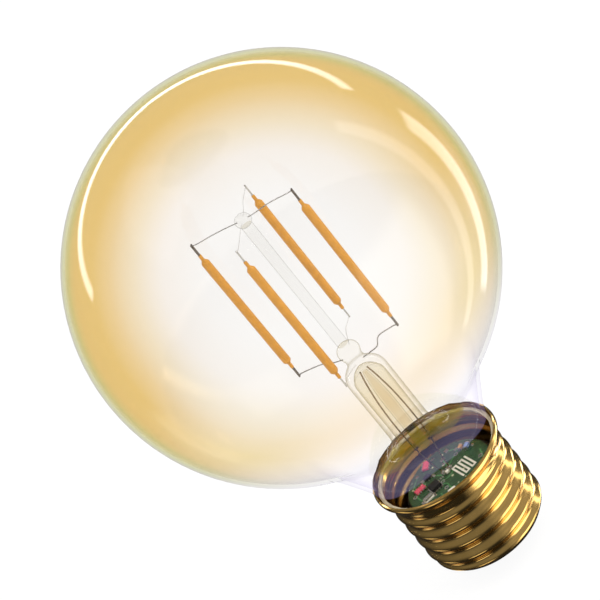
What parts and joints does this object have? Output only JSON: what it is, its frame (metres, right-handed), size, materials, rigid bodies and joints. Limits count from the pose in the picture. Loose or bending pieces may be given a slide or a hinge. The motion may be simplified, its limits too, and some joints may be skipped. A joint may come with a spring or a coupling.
{
  "type": "smart light bulb",
  "caption": "Globe-shaped filament smart bulb: amber-tinted clear glass with upright LED filaments on a glass stem, radio driver board, threaded brass screw cap.",
  "frame": {"origin": "middle of the centre contact's flat outer face, the lowest point of the bulb", "axes": "+Z along the bulb axis from the contact to the crown of the globe; the four filaments stand at 157, 247, 337 and 67 degrees from +X"},
  "size_m": [0.08, 0.08, 0.118],
  "materials": {
    "envelope_glass": "clear blown glass with an amber film, strongest round the crown and sides",
    "stem_glass": "clear uncoated glass, fire-polished",
    "phosphor": "amber silicone and phosphor coat, satin",
    "thick_pin": "dull dark plated steel strip",
    "thin_pin": "pale nickel-plated strip",
    "support_wire": "bright nickel wire",
    "lead_copper": "copper-clad lead wire",
    "cap_brass": "polished, lacquered gold-coloured brass",
    "contact_brass": "stamped brass, satin",
    "insulator_glass": "black fused glass",
    "cup_plastic": "black moulded plastic",
    "board_green": "green solder mask over copper traces",
    "red_lacquer": "red lacquer over ceramic, tinned ends",
    "blue_lacquer": "blue lacquer over ceramic",
    "orange_lacquer": "tan ceramic, tinned ends",
    "chip_black": "black moulded epoxy",
    "white_ceramic": "white ceramic, matt",
    "tinned": "bright tin plate or solder",
    "choke_copper": "enamelled copper winding",
    "cement": "baked capping cement, matt"
  },
  "bodies": {
    "root": {"glass_envelope": "envelope_glass", "stem": "stem_glass", "exhaust_tube": "stem_glass", "support_rod": "stem_glass", "rod_bead": "stem_glass", "led_filament_1": "phosphor", "led_filament_1_bottom_pin": "thick_pin", "led_filament_1_top_pin": "thick_pin", "led_filament_2": "phosphor", "led_filament_2_bottom_pin": "thin_pin", "led_filament_2_top_pin": "thin_pin", "led_filament_3": "phosphor", "led_filament_3_bottom_pin": "thick_pin", "led_filament_3_top_pin": "thick_pin", "led_filament_4": "phosphor", "led_filament_4_bottom_pin": "thin_pin", "led_filament_4_top_pin": "thin_pin", "anchor_wire_1": "support_wire", "inner_lead_1": "support_wire", "anchor_wire_2": "support_wire", "inner_lead_2": "support_wire", "anchor_wire_3": "support_wire", "inner_lead_3": "support_wire", "anchor_wire_4": "support_wire", "inner_lead_4": "support_wire", "outer_lead_1": "lead_copper", "outer_lead_2": "lead_copper", "screw_shell": "cap_brass", "centre_contact": "contact_brass", "insulator": "insulator_glass", "insulating_cup": "cup_plastic", "cap_cement": "cement", "driver_board": "board_green", "controller_ic": "chip_black", "switch_transistor": "chip_black", "bulk_capacitor": "chip_black", "bridge_rectifier": "chip_black", "resistor_pack_1": "red_lacquer", "resistor_pack_2": "red_lacquer", "printed_antenna": "tinned", "timing_crystal": "tinned", "fuse_lead": "tinned", "contact_lead": "tinned", "contact_solder": "tinned", "shell_lead": "tinned", "chip_capacitor_1": "blue_lacquer", "chip_capacitor_2": "orange_lacquer", "matching_inductor": "white_ceramic", "band_filter": "white_ceramic", "choke_coil": "choke_copper", "fuse_resistor": "orange_lacquer"}
  },
  "joints": []
}
